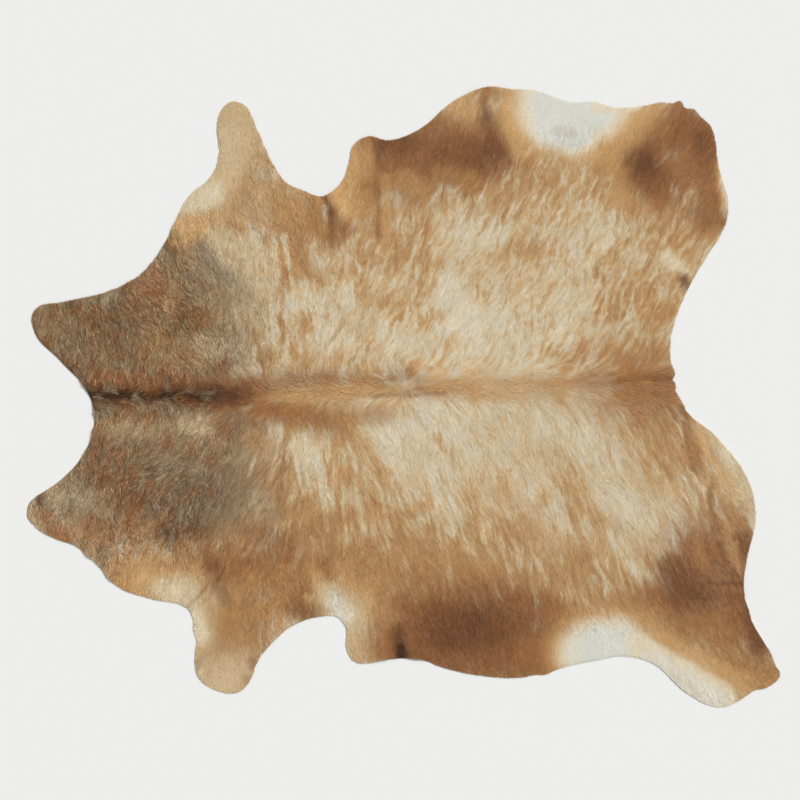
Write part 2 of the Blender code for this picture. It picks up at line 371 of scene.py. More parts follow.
# The lean wanders in waves of three sizes, by more degrees where the hair is coarse, and in the two
# smaller sizes by more on the far side too
lean += soft_noise(draw, size=0.09) * (3.0 + 10.0 * coarse_chart)
lean += soft_noise(draw, size=0.03) * (4.5 + 4.5 * coarse_chart + np.where(side > 0.0, 2.0, 0.0))
lean += soft_noise(draw, size=0.014) * (3.0 + 7.0 * coarse_chart + np.where(side > 0.0, 2.5, 0.0))
hair_x = np.sin(np.radians(lean))
hair_y = np.cos(np.radians(lean)) * side

# The coat's colours
# The hair is brindled from cream to tan along its lie, grey-brown on the neck, brown on the belly and
# hind legs, dark down the neck's middle and white beside the udder.
# A patch lies round a short line from its first place to its second, and fades out at about its
# reach. Places and reach are in millimetres, and its strength runs from 0 to 1.
Patch = namedtuple("Patch", "along across end_along end_across reach tone strength")

# The hair's tones as a screen shows them, judged against the photograph
TONES = {
    "milk": (226, 220, 202),
    "cool grey": (219, 219, 209),
    "pale": (228, 214, 184),
    "cream": (216, 194, 154),
    "mist": (186, 168, 138),
    "sand": (204, 176, 133),
    "gold": (212, 168, 109),
    "light tan": (192, 148, 95),
    "tan": (175, 128, 77),
    "chestnut": (155, 105, 60),
    "rust": (158, 100, 55),
    "brown": (144, 95, 53),
    "deep brown": (114, 71, 39),
    "dark brown": (88, 52, 28),
    "black brown": (50, 25, 9),
    "stone": (154, 132, 102),
    "olive": (142, 117, 84),
    "umber": (130, 104, 75),
    "grey umber": (117, 97, 74),
    "dark umber": (98, 72, 49),
}
# The brindle's tones, and the tan shares at which they stand
BRINDLE_TONES = [(226, 215, 190), (215, 193, 154), (196, 157, 107), (168, 121, 74)]
BRINDLE_STOPS = (0.08, 0.36, 0.64, 1.0)
# The tan share between the patches, and how widely it varies on the far and the near side
BRINDLE_GROUND = 0.49
FAR_SPREAD = 0.165
NEAR_SPREAD = 0.145

# How tan the brindle is in each patch, from 0 to 1
BRINDLE = [
    Patch(-326, 290, -206, 140, 130, 0.36, 0.8),
    Patch(-527, 455, -437, 494, 42, 0.15, 0.7),
    Patch(-281, 260, -221, 170, 64, 0.14, 0.8),
    Patch(-191, 320, -161, 275, 42, 0.14, 0.8),
    Patch(-56, 200, -17, 125, 54, 0.12, 0.8),
    Patch(-401, 200, -371, 160, 34, 0.22, 0.7),
    Patch(-416, 470, -400, 390, 20, 0.95, 0.8),
    Patch(-320, 476, -314, 362, 28, 0.95, 0.8),
    Patch(-365, 440, -362, 155, 14, 0.90, 0.65),
    Patch(-350, 470, -340, 330, 9, 0.15, 0.6),
    Patch(-390, 470, -378, 350, 9, 0.15, 0.6),
    Patch(-311, 230, -287, 185, 26, 0.72, 0.7),
    Patch(-329, 122, -323, 122, 20, 0.82, 0.6),
    Patch(-188, 260, -191, 200, 9, 0.76, 0.6),
    Patch(-191, 200, -236, 140, 9, 0.76, 0.6),
    Patch(-110, 140, -137, 74, 10, 0.76, 0.6),
    Patch(-125, 260, -125, 155, 12, 0.70, 0.5),
    Patch(-596, 470, -450, 400, 100, 0.28, 0.8),
    Patch(109, 200, 469, 170, 190, 0.24, 0.9),
    Patch(121, 320, 181, 215, 60, 0.06, 0.8),
    Patch(169, 485, 289, 470, 90, 0.28, 0.8),
    Patch(-11, 440, -11, 320, 110, 0.62, 0.8),
    Patch(499, 380, 589, 500, 110, 0.30, 0.8),
    Patch(304, 425, 394, 440, 42, 0.66, 0.7),
    Patch(709, 350, 739, 140, 140, 0.60, 0.8),
    Patch(784, 404, 829, 386, 40, 0.28, 0.8),
    Patch(544, 590, 619, 545, 70, 0.34, 0.8),
    Patch(349, 710, 469, 620, 85, 0.76, 0.8),
    Patch(469, 680, 709, 650, 70, 0.68, 0.8),
    Patch(679, 620, 889, 530, 120, 0.74, 0.8),
    Patch(-341, 355, -211, 355, 28, 0.68, 0.7),
    Patch(-401, 545, -221, 515, 95, 0.74, 0.8),
    Patch(-191, 590, -41, 440, 85, 0.72, 0.8),
    Patch(-311, 80, -11, 80, 45, 0.60, 0.7),
    Patch(-371, -96, -230, -185, 60, 0.28, 0.9),
    Patch(-260, -170, -225, -215, 44, 0.28, 0.8),
    Patch(-236, -220, -221, -330, 40, 0.34, 0.9),
    Patch(-299, -235, -302, -259, 14, 0.82, 0.7),
    Patch(-146, -175, -134, -370, 14, 0.28, 0.7),
    Patch(-86, -70, -26, -220, 40, 0.18, 0.8),
    Patch(-311, -310, -305, -460, 7, 0.20, 0.6),
    Patch(49, -70, 199, -40, 100, 0.10, 0.9),
    Patch(109, -100, 229, -170, 90, 0.20, 0.7),
    Patch(-56, -85, -11, -160, 55, 0.14, 0.9),
    Patch(79, -220, 139, -295, 90, 0.26, 0.8),
    Patch(94, -109, 128, -148, 20, 0.52, 0.7),
    Patch(-191, -130, -161, -310, 40, 0.60, 0.8),
    Patch(-161, -280, -11, -430, 120, 0.58, 0.8),
    Patch(-401, -220, -311, -490, 85, 0.66, 0.8),
    Patch(-311, -420, 49, -600, 135, 0.82, 0.9),
    Patch(49, -450, 289, -560, 140, 0.80, 0.85),
    Patch(289, -520, 520, -610, 90, 0.74, 0.8),
    Patch(600, -500, 760, -560, 60, 0.52, 0.7),
    Patch(400, -380, 530, -490, 105, 0.90, 0.85),
    Patch(250, 565, 340, 640, 80, 0.76, 0.8),
    Patch(445, 555, 480, 545, 50, 0.34, 0.7),
    Patch(460, 104, 560, 104, 52, 0.70, 0.8),
    Patch(-60, 335, -40, 320, 50, 0.36, 0.7),
    Patch(-350, -250, -350, -300, 70, 0.86, 0.85),
    Patch(-350, -340, -190, -355, 66, 0.86, 0.7),
    Patch(700, -350, 700, -500, 96, 0.62, 0.75),
    Patch(600, -215, 600, -290, 70, 0.52, 0.7),
    Patch(-60, 110, -35, 100, 44, 0.30, 0.7),
    Patch(20, -50, 40, -46, 42, 0.40, 0.6),
    Patch(229, -50, 649, -110, 95, 0.32, 0.8),
    Patch(289, -150, 469, -370, 115, 0.33, 0.8),
    Patch(514, -100, 619, -205, 65, 0.28, 0.8),
    Patch(589, -280, 799, -400, 85, 0.26, 0.9),
    Patch(469, -220, 589, -430, 62, 0.60, 0.7),
    Patch(649, -430, 709, -550, 40, 0.28, 0.8),
    Patch(709, -10, 859, -190, 85, 0.72, 0.8),
    Patch(469, -560, 709, -640, 100, 0.72, 0.8),
]

# The tan line down the back, and the dark line down the neck's middle
SPINE_PATCHES = [
    Patch(-461, 38, 49, 53, 26, "chestnut", 0.4),
    Patch(-461, 36, -230, 42, 40, "chestnut", 0.5),
    Patch(-416, -20, -330, -38, 56, "chestnut", 0.9),
    Patch(-330, -40, -200, -75, 62, "tan", 0.85),
    Patch(-230, -45, -60, -45, 46, "tan", 0.6),
    Patch(-416, -25, -340, -40, 26, "rust", 0.5),
    Patch(-431, 0, 79, 26, 20, "light tan", 0.8),
    Patch(79, 26, 469, 35, 38, "light tan", 0.85),
    Patch(640, 40, 805, 35, 170, "tan", 0.6),
    Patch(720, 35, 805, 35, 120, "chestnut", 0.65),
    Patch(520, 40, 805, 47, 36, "chestnut", 0.45),
    Patch(640, 50, 805, 53, 10, "brown", 0.6),
    Patch(-86, 4, 109, 14, 8, "brown", 0.5),
    Patch(10, 62, 34, 26, 20, "chestnut", 0.35),
    Patch(30, 34, 64, 14, 14, "brown", 0.35),
    Patch(-300, -44, -245, -50, 44, "chestnut", 0.5),
    Patch(240, 40, 400, 20, 34, "sand", 0.5),
    Patch(-911, 40, -596, 38, 40, "rust", 0.6),
    Patch(-860, 32, -740, 32, 34, "brown", 0.75),
    Patch(-525, 32, -480, 28, 40, "deep brown", 0.4),
    Patch(-572, 65, -536, 86, 30, "deep brown", 0.6),
    Patch(-585, 12, -431, 10, 58, "chestnut", 0.8),
    Patch(-585, 8, -470, 8, 40, "deep brown", 0.85),
    Patch(-940, -1, -572, 5, 40, "deep brown", 0.8),
    Patch(-940, -1, -500, 3, 24, "dark brown", 0.8),
    Patch(-940, -1, -860, 0, 24, "black brown", 0.9),
    Patch(-860, 0, -560, 5, 19, "black brown", 0.9),
]
# The grey-brown neck on both sides, with its rusty, golden and dark spots, and painted shade in a
# crease on the far side
NECK_PATCHES = [
    Patch(-1001, 200, -760, 195, 290, "umber", 0.92),
    Patch(-760, 150, -625, 140, 205, "umber", 0.85),
    Patch(-700, 410, -590, 340, 95, "stone", 0.75),
    Patch(-560, 400, -470, 260, 70, "mist", 0.4),
    Patch(-590, 455, -560, 330, 9, "cream", 0.55),
    Patch(-562, 470, -528, 330, 9, "cream", 0.6),
    Patch(-536, 480, -500, 350, 8, "cream", 0.6),
    Patch(-520, 330, -498, 240, 8, "cream", 0.5),
    Patch(-821, 230, -640, 215, 110, "umber", 0.6),
    Patch(-700, 330, -520, 290, 60, "olive", 0.4),
    Patch(-776, 385, -720, 355, 52, "chestnut", 0.45),
    # Painted shade in a crease at the far neck's rim, beside a fold
    Patch(-700, 465, -684, 430, 32, "dark umber", 0.9),
    Patch(-668, 400, -645, 375, 32, "dark umber", 0.5),
    Patch(-655, 420, -620, 405, 40, "sand", 0.4),
    Patch(-745, 340, -710, 320, 46, "sand", 0.45),
    Patch(-820, 260, -780, 250, 56, "tan", 0.35),
    Patch(-595, 415, -560, 395, 44, "cream", 0.25),
    Patch(-590, 270, -560, 240, 56, "sand", 0.35),
    Patch(-611, 445, -590, 400, 34, "grey umber", 0.6),
    Patch(-566, 375, -530, 345, 30, "dark umber", 0.45),
    Patch(-920, 230, -905, 150, 44, "brown", 0.5),
    Patch(-716, 305, -611, 225, 50, "chestnut", 0.5),
    Patch(-1085, 225, -1040, 180, 28, "rust", 0.6),
    Patch(-611, 150, -540, 115, 30, "cream", 0.5),
    Patch(-662, 486, -611, 515, 56, "gold", 0.9),
    Patch(-821, 320, -716, 350, 50, "rust", 0.45),
    Patch(-857, 335, -845, 296, 24, "dark umber", 0.6),
    Patch(-1076, 215, -971, 236, 85, "olive", 0.8),
    Patch(-1001, 275, -995, 250, 25, "dark umber", 0.6),
    Patch(-731, 150, -581, 110, 80, "gold", 0.4),
    Patch(-581, 140, -506, 125, 52, "mist", 0.7),
    Patch(-1061, 155, -986, 74, 30, "brown", 0.7),
    Patch(-977, 74, -911, 35, 46, "deep brown", 0.8),
    Patch(-881, -175, -600, -230, 260, "umber", 0.92),
    Patch(-761, -250, -566, -310, 125, "grey umber", 0.85),
    Patch(-536, -60, -470, -80, 80, "umber", 0.6),
    Patch(-566, -15, -536, -85, 32, "brown", 0.6),
    Patch(-905, -25, -590, -30, 26, "grey umber", 0.6),
    Patch(-911, -85, -731, -80, 44, "sand", 0.35),
    Patch(-850, -38, -760, -44, 40, "brown", 0.8),
    Patch(-440, -108, -410, -130, 48, "light tan", 0.5),
    Patch(-675, -330, -630, -360, 56, "dark umber", 0.35),
    Patch(-825, -260, -780, -280, 56, "dark umber", 0.35),
    Patch(-510, -40, -480, -50, 44, "deep brown", 0.35),
    Patch(-960, -270, -940, -275, 50, "dark umber", 0.3),
    Patch(-656, -70, -587, -100, 30, "cream", 0.6),
    Patch(-911, -130, -881, -160, 44, "deep brown", 0.6),
    Patch(-911, -250, -791, -310, 85, "deep brown", 0.55),
    Patch(-500, -300, -420, -380, 84, "stone", 0.35),
    Patch(-425, -295, -407, -355, 36, "mist", 0.35),
    Patch(-956, -375, -731, -394, 62, "chestnut", 0.7),
    Patch(-700, -400, -606, -398, 54, "dark umber", 0.95),
    Patch(-671, -454, -566, -490, 56, "brown", 0.7),
    Patch(-960, -420, -860, -422, 42, "chestnut", 0.5),
    Patch(-1061, -325, -951, -310, 86, "stone", 0.85),
    Patch(-1046, -320, -956, -295, 50, "mist", 0.6),
    Patch(-1097, -295, -1085, -325, 17, "dark brown", 0.8),
    Patch(-1013, -355, -992, -310, 9, "dark umber", 0.6),
    Patch(-1097, -340, -1001, -424, 32, "rust", 0.7),
    Patch(-905, -452, -880, -500, 30, "grey umber", 0.7),
]
# The forelegs, and the hair round them at the shoulders and armpits, with painted shade and light on
# the far armpit's fold and painted shade along two wrinkles by the near foreleg
FORE_PATCHES = [
    Patch(-506, 845, -476, 620, 160, "sand", 0.95),
    Patch(-521, 605, -281, 560, 100, "light tan", 0.8),
    Patch(-380, 530, -251, 500, 66, "tan", 0.7),
    Patch(-440, 565, -425, 545, 52, "sand", 0.6),
    Patch(-362, 560, -335, 550, 50, "light tan", 0.6),
    Patch(-527, 790, -515, 680, 44, "cream", 0.6),
    Patch(-640, 575, -575, 620, 90, "cream", 0.7),
    Patch(-640, 560, -590, 600, 56, "pale", 0.8),
    Patch(-671, 524, -500, 512, 40, "gold", 0.7),
    Patch(-515, 494, -500, 488, 24, "rust", 0.5),
    Patch(-560, 480, -425, 410, 40, "cream", 0.6),
    Patch(-425, 704, -395, 686, 26, "tan", 0.5),
    # Painted shade on the shaded side of the far armpit's fold
    Patch(-215, 545, -212, 455, 34, "brown", 0.8),
    Patch(-176, 505, -172, 485, 34, "chestnut", 0.8),
    # Painted light on the fold's lit slope
    Patch(-215, 590, -165, 565, 50, "gold", 0.9),
    Patch(-262, 590, -248, 500, 34, "tan", 0.7),
    # Painted shade in the fold's crease
    Patch(-242, 599, -215, 545, 15, "deep brown", 0.7),
    Patch(-836, -535, -641, -505, 85, "light tan", 0.9),
    Patch(-746, -580, -620, -575, 96, "gold", 0.7),
    Patch(-716, -580, -620, -580, 76, "cream", 0.8),
    Patch(-690, -580, -626, -592, 54, "pale", 0.7),
    Patch(-491, -520, -491, -850, 165, "tan", 0.92),
    Patch(-740, -492, -710, -500, 42, "light tan", 0.6),
    Patch(-506, -490, -281, -520, 66, "chestnut", 0.8),
    Patch(-440, -415, -340, -430, 56, "brown", 0.55),
    Patch(-350, -490, -270, -505, 60, "chestnut", 0.5),
    Patch(-305, -445, -356, -550, 12, "sand", 0.4),
    Patch(-590, -450, -572, -490, 34, "brown", 0.6),
    Patch(-572, -490, -560, -535, 34, "deep brown", 0.55),
    Patch(-557, -570, -533, -604, 28, "umber", 0.5),
    # Painted shade: thin dark lines along two wrinkles by the near foreleg
    Patch(-653, -632, -575, -545, 7, "chestnut", 0.6),
    Patch(-640, -640, -590, -602, 6, "tan", 0.6),
    Patch(-632, -646, -611, -720, 60, "cream", 0.7),
    Patch(-632, -646, -615, -710, 30, "pale", 0.7),
    Patch(-611, -775, -566, -760, 40, "chestnut", 0.25),
    Patch(-566, -850, -491, -826, 100, "cream", 0.75),
    Patch(-455, -790, -450, -800, 24, "brown", 0.6),
    Patch(-470, -844, -462, -850, 22, "chestnut", 0.5),
    Patch(-400, -545, -300, -600, 76, "tan", 0.85),
    Patch(-300, -555, -262, -600, 66, "chestnut", 0.95),
    Patch(-230, -430, -165, -500, 66, "tan", 0.5),
    Patch(-317, -625, -281, -646, 58, "brown", 0.8),
    Patch(-221, -560, -110, -620, 100, "gold", 0.8),
    Patch(-135, -600, -125, -740, 58, "gold", 0.8),
    Patch(-215, -590, -150, -640, 70, "cream", 0.8),
    Patch(-155, -620, -140, -740, 40, "cream", 0.6),
    Patch(-208, -590, -172, -650, 50, "pale", 0.9),
    Patch(-206, -605, -186, -650, 36, "milk", 0.9),
    Patch(-236, -490, -221, -526, 30, "brown", 0.7),
    Patch(-125, -760, -56, -730, 66, "light tan", 0.8),
    Patch(-142, -755, -122, -690, 52, "cream", 0.55),
]
# The brown belly on both sides, with painted shade between two ripples of the far flank and along a
# crease by the far udder
BELLY_PATCHES = [
    Patch(-131, 755, -86, 500, 68, "light tan", 0.8),
    Patch(-80, 620, 40, 600, 86, "tan", 0.85),
    Patch(-150, 740, -170, 620, 40, "gold", 0.7),
    Patch(-20, 735, 245, 750, 150, "chestnut", 0.85),
    Patch(-26, 740, 245, 735, 120, "brown", 0.9),
    Patch(50, 690, 180, 668, 76, "brown", 0.7),
    Patch(139, 700, 240, 715, 80, "deep brown", 0.55),
    Patch(-47, 758, 4, 758, 52, "deep brown", 0.7),
    # Painted shade in the trough between two ripples of loose skin on the far flank
    Patch(-86, 740, -77, 470, 15, "brown", 0.6),
    Patch(-59, 650, -59, 410, 18, "gold", 0.4),
    Patch(79, 815, 199, 800, 46, "chestnut", 0.6),
    Patch(154, 880, 200, 850, 66, "gold", 0.6),
    Patch(-130, 720, -125, 680, 44, "gold", 0.5),
    Patch(5, 640, 40, 622, 44, "light tan", 0.5),
    Patch(259, 914, 334, 890, 36, "tan", 0.7),
    Patch(289, 845, 349, 740, 46, "gold", 0.85),
    # Painted shade along the crease by the far udder
    Patch(235, 905, 247, 836, 30, "brown", 0.7),
    Patch(253, 830, 289, 740, 44, "deep brown", 0.5),
    Patch(110, 660, 190, 640, 44, "tan", 0.7),
    Patch(-150, -520, 280, -560, 110, "tan", 0.5),
    Patch(70, -720, 450, -770, 190, "tan", 0.9),
    Patch(30, -715, 350, -720, 175, "chestnut", 0.9),
    Patch(60, -775, 400, -795, 100, "brown", 0.75),
    Patch(50, -695, 310, -685, 150, "brown", 0.9),
    Patch(109, -690, 269, -665, 105, "deep brown", 0.8),
    Patch(140, -712, 240, -690, 66, "dark brown", 0.35),
    Patch(289, -620, 400, -640, 70, "brown", 0.65),
    Patch(370, -760, 439, -775, 56, "chestnut", 0.6),
    Patch(440, -645, 490, -660, 52, "chestnut", 0.85),
    Patch(-65, -630, -40, -655, 40, "light tan", 0.5),
    Patch(-20, -695, -5, -790, 32, "deep brown", 0.65),
    Patch(-20, -710, -8, -790, 16, "dark brown", 0.6),
    Patch(-10, -750, -3, -795, 22, "black brown", 0.8),
]
# The brown hind legs, with their dark spots and pale rims, and painted shade along a wrinkle
HIND_PATCHES = [
    Patch(619, 755, 739, 830, 100, "light tan", 0.9),
    Patch(729, 665, 904, 695, 150, "chestnut", 0.95),
    Patch(769, 770, 889, 800, 96, "chestnut", 0.9),
    Patch(829, 845, 910, 740, 66, "brown", 0.8),
    Patch(889, 770, 904, 735, 40, "deep brown", 0.6),
    Patch(750, 745, 820, 765, 46, "brown", 0.5),
    Patch(620, 700, 640, 600, 46, "gold", 0.4),
    Patch(640, 590, 700, 555, 46, "gold", 0.35),
    Patch(898, 695, 925, 515, 46, "brown", 0.7),
    Patch(712, 705, 742, 650, 68, "deep brown", 0.7),
    Patch(716, 700, 738, 665, 42, "dark brown", 0.55),
    Patch(750, 640, 784, 595, 44, "brown", 0.6),
    Patch(874, 545, 904, 500, 46, "chestnut", 0.8),
    Patch(925, 620, 949, 515, 32, "chestnut", 0.8),
    Patch(946, 690, 966, 560, 20, "gold", 0.8),
    Patch(952, 670, 971, 560, 12, "pale", 0.9),
    Patch(859, 410, 934, 485, 28, "light tan", 0.6),
    Patch(784, 416, 805, 386, 20, "pale", 0.7),
    Patch(823, 395, 840, 365, 15, "pale", 0.6),
    Patch(838, 345, 850, 322, 20, "deep brown", 0.8),
    Patch(709, -640, 979, -700, 145, "tan", 0.92),
    Patch(990, -800, 1100, -830, 100, "tan", 0.95),
    Patch(940, -330, 910, -430, 60, "light tan", 0.6),
    Patch(880, -455, 965, -560, 140, "chestnut", 0.85),
    Patch(760, -600, 980, -680, 90, "chestnut", 0.6),
    Patch(880, -490, 830, -590, 96, "brown", 0.6),
    Patch(795, -510, 825, -590, 62, "deep brown", 0.7),
    Patch(840, -560, 905, -590, 60, "deep brown", 0.7),
    Patch(1010, -410, 1015, -560, 62, "brown", 0.8),
    Patch(1005, -580, 1060, -740, 66, "brown", 0.85),
    Patch(1040, -640, 1066, -740, 36, "deep brown", 0.8),
    # Painted shade: a thin dark line along a wrinkle between the near hind leg's folds
    Patch(919, -553, 1018, -553, 8, "dark brown", 0.55),
    Patch(859, -70, 994, -280, 38, "gold", 0.6),
    Patch(934, -85, 1039, -310, 42, "cream", 0.8),
    Patch(955, -154, 979, -184, 22, "pale", 0.7),
    Patch(838, -40, 874, -205, 30, "chestnut", 0.7),
    Patch(918, -265, 928, -400, 14, "brown", 0.6),
    Patch(950, -310, 990, -375, 14, "brown", 0.5),
    Patch(935, -370, 925, -480, 26, "brown", 0.5),
    Patch(870, -400, 900, -490, 20, "tan", 0.4),
    Patch(1000, -335, 1006, -370, 38, "tan", 0.6),
    Patch(915, -335, 935, -385, 40, "tan", 0.45),
    Patch(965, -390, 985, -490, 16, "light tan", 0.45),
    Patch(990, -430, 1002, -520, 10, "gold", 0.4),
    Patch(946, -430, 958, -520, 16, "deep brown", 0.3),
    Patch(1015, -420, 1033, -475, 26, "deep brown", 0.6),
]
# The white hair beside the udder, with its golden rim and grey middle, painted over the rest
UDDER_PATCHES = [
    Patch(424, 878, 604, 866, 195, "gold", 0.75),
    Patch(460, 812, 505, 802, 146, "gold", 0.7),
    Patch(439, 878, 570, 872, 152, "pale", 0.95),
    Patch(452, 815, 505, 802, 122, "pale", 0.95),
    Patch(460, 878, 540, 866, 122, "milk", 0.9),
    Patch(454, 813, 505, 800, 102, "milk", 0.9),
    Patch(455, 878, 560, 866, 96, "cool grey", 0.85),
    Patch(460, 812, 504, 796, 84, "cool grey", 0.85),
    Patch(460, 795, 500, 785, 26, "mist", 0.25),
    Patch(589, 870, 690, 876, 34, "pale", 0.85),
    Patch(769, -750, 1009, -870, 70, "gold", 0.6),
    Patch(555, -760, 680, -755, 180, "gold", 0.65),
    Patch(570, -766, 630, -758, 150, "pale", 0.95),
    Patch(575, -766, 625, -760, 128, "milk", 0.95),
    Patch(700, -752, 949, -900, 66, "pale", 0.95),
    Patch(739, -790, 949, -915, 48, "milk", 0.8),
    Patch(589, -750, 610, -765, 90, "cool grey", 0.8),
]
PATCHES = NECK_PATCHES + SPINE_PATCHES + FORE_PATCHES + BELLY_PATCHES + HIND_PATCHES

# How softly patches fade, as a share of their reach
SOFT_FADE = 1.1
UDDER_FADE = 0.42


def light_of(tone):
    """Return a screen tone, 0 to 255, as the light that it stands for, 0 to 1."""
    share = np.array(tone) / 255.0
    return np.where(share <= 0.04045, share / 12.92, ((share + 0.055) / 1.055) ** 2.4)


def painted(ground, rows, ragged, fade, value_of):
    """Return the ground with each row's value painted over it, fading out round its line.

    A row counts by its strength times an eased share. The share is 0.5 + (0.7 - gap / reach) / fade
    with the ragged chart added, so it is a half at seven tenths of the reach.
    """
    for row in rows:
        gap, _ = gap_to_row(chart_x, chart_y, row)
        gap = gap / (row.reach * MILLIMETRE)
        share = 0.5 + (0.7 - gap) / fade + np.where(gap < 1.6, ragged, 0.0)
        ground = ground + (row.strength * smooth_step(share))[..., None] * (value_of(row.tone) - ground)
    return ground


def lighter(change):
    """Return what colours are multiplied by to lighten hair by a change: e^change, less in its red.

    Lighter hairs of one colour are paler too, so the red changes by 0.85 of it and the blue by 1.2.
    """
    return np.exp(change * np.array([0.85, 1.0, 1.2]))


# Mottle and clouds are round, and all the others are drawn out along the hair
thin_streaks = combed(draw.standard_normal(chart_x.shape), length=0.05)
streaks = combed(soft_noise(draw, size=0.0045), length=0.045)
broad_streaks = combed(soft_noise(draw, size=0.009), length=0.06)
mottle = soft_noise(draw, size=0.008)
clouds = soft_noise(draw, size=0.045)
hue_clouds = combed(soft_noise(draw, size=0.018), length=0.025)
strands = combed(draw.standard_normal(chart_x.shape), length=0.022)
flecks = combed(draw.standard_normal(chart_x.shape), length=0.035)
# How much patches' rims stray from a smooth line, more on the brindle than elsewhere
ragged = 0.09 * streaks + 0.11 * broad_streaks + 0.09 * clouds
even_ragged = 0.05 * streaks + 0.05 * broad_streaks + 0.07 * clouds

# The tan share varies less where it is high, and the far side is the more marbled
tan_ground = np.full((*chart_x.shape, 1), BRINDLE_GROUND)
tan_share = painted(tan_ground, BRINDLE, ragged, SOFT_FADE, float)[..., 0]
unevenness = 1.0 - 0.5 * smooth_step((tan_share - 0.55) / 0.3)
spread = np.where(side > 0.0, FAR_SPREAD, NEAR_SPREAD) * unevenness
marbled = np.where(side > 0.0, 0.55, 0.2)
tan_share += spread * (0.40 * thin_streaks + 0.55 * streaks + 0.50 * broad_streaks)
tan_share += spread * (marbled * mottle + 0.45 * clouds)
brindle_tones = light_of(BRINDLE_TONES)
coat = np.stack([np.interp(tan_share, BRINDLE_STOPS, tone) for tone in brindle_tones.T], axis=-1)
coat = painted(coat, PATCHES, even_ragged, SOFT_FADE, lambda tone: light_of(TONES[tone]))
coat = painted(coat, UDDER_PATCHES, 0.5 * even_ragged, UDDER_FADE, lambda tone: light_of(TONES[tone]))

# Coarse and dark hair varies more in lightness. Shaggy hair has sandy and rusty strands in it, first
# in soft clouds and then in single flecks.
coarse = coarse_chart[..., None]
dark = smooth_step((0.40 - coat.mean(axis=-1, keepdims=True)) / 0.30)
shaggy = smooth_step((coarse - 0.25) / 0.6)
uneven = (streaks + mottle + clouds)[..., None]
coat *= lighter((0.01 + 0.10 * np.minimum(coarse, 0.3) + 0.03 * dark) * uneven)
sandy = np.clip(hue_clouds[..., None] - 0.2, 0.0, 1.2) * 0.45 * shaggy
rusty = np.clip(-hue_clouds[..., None] - 0.2, 0.0, 1.2) * 0.34 * shaggy
coat += sandy * (light_of(TONES["stone"]) - coat)
coat += rusty * (light_of(TONES["rust"]) * 0.9 - coat)
coat *= lighter((0.13 * coarse + 0.05 * dark) * strands[..., None])
sandy = np.clip(flecks[..., None] - 0.8, 0.0, 1.0) * 0.50 * shaggy
rusty = np.clip(-flecks[..., None] - 0.8, 0.0, 1.0) * 0.30 * shaggy
coat += sandy * (light_of(TONES["sand"]) - coat)
coat += rusty * (light_of(TONES["rust"]) - coat)

# The leather sheet's mesh and finish
# Tanned cattle hide, cut out flat. Its upper face carries the hair's colour between the locks, and
# its flesh side and cut edge are pale suede.
# In a picture of the finish the suede has this share of the hair side's scale, and lies above it
UNDER_CHART_SHARE = 0.18
UNDER_CHART_PLACE = (0.0, 0.83)


def bake_places(x, y):
    """Return places as seen from above, as shares of the hide's length, for a picture of the finish."""
    span = cad_high[0] - cad_low[0] + 2 * CHART_MARGIN
    return np.stack([(x - chart_low[0]) / span, (y - chart_low[1]) / span], axis=1)


def strand_group():
    """Return the node group for fine hairs: noise at the places that it takes.

    The grain is the noise stretched to run from 0 between the hairs to 1 on them. The colour comes
    out multiplied by 1 + depth * (grain - 0.5): painted shade between the hairs and painted light on
    them.
    """
    group = bpy.data.node_groups.new("fine_hairs_and_gap_shade", "ShaderNodeTree")
    group.interface.new_socket("Place", in_out="INPUT", socket_type="NodeSocketVector")
    group.interface.new_socket("Colour", in_out="INPUT", socket_type="NodeSocketColor")
    group.interface.new_socket("Depth", in_out="INPUT", socket_type="NodeSocketFloat")
    group.interface.new_socket("Colour", in_out="OUTPUT", socket_type="NodeSocketColor")
    group.interface.new_socket("Grain", in_out="OUTPUT", socket_type="NodeSocketFloat")
    nodes, links = group.nodes, group.links
    given = nodes.new("NodeGroupInput")
    made = nodes.new("NodeGroupOutput")
    noise = nodes.new("ShaderNodeTexNoise")
    noise.inputs["Scale"].default_value = 1.0
    noise.inputs["Detail"].default_value = 2.0
    links.new(given.outputs["Place"], noise.inputs["Vector"])
    share = nodes.new("ShaderNodeMapRange")
    share.inputs["From Min"].default_value = 0.3
    share.inputs["From Max"].default_value = 0.7
    links.new(noise.outputs["Fac"], share.inputs["Value"])
    centred = nodes.new("ShaderNodeMath")
    centred.operation = "SUBTRACT"
    centred.inputs[1].default_value = 0.5
    links.new(share.outputs["Result"], centred.inputs[0])
    shade = nodes.new("ShaderNodeMath")
    shade.operation = "MULTIPLY_ADD"
    shade.inputs[2].default_value = 1.0
    links.new(centred.outputs[0], shade.inputs[0])
    links.new(given.outputs["Depth"], shade.inputs[1])
    shaded = nodes.new("ShaderNodeVectorMath")
    shaded.operation = "SCALE"
    links.new(given.outputs["Colour"], shaded.inputs[0])
    links.new(shade.outputs[0], shaded.inputs["Scale"])
    links.new(shaded.outputs[0], made.inputs["Colour"])
    links.new(share.outputs["Result"], made.inputs["Grain"])
    return group


def new_material(name, roughness, specular):
    """Return a material with a Principled shader, and its node tree and shader."""
    material = bpy.data.materials.new(name)
    material.use_nodes = True
    shader = material.node_tree.nodes["Principled BSDF"]
    shader.inputs["Roughness"].default_value = roughness
    shader.inputs["Specular IOR Level"].default_value = specular
    return material, material.node_tree, shader


def add_bump(tree, shader, height, strength, distance):
    """Make a height socket stand as a bump in a shader's normal."""
    bump = tree.nodes.new("ShaderNodeBump")
    bump.inputs["Strength"].default_value = strength
    bump.inputs["Distance"].default_value = distance
    tree.links.new(height, bump.inputs["Height"])
    tree.links.new(bump.outputs["Normal"], shader.inputs["Normal"])


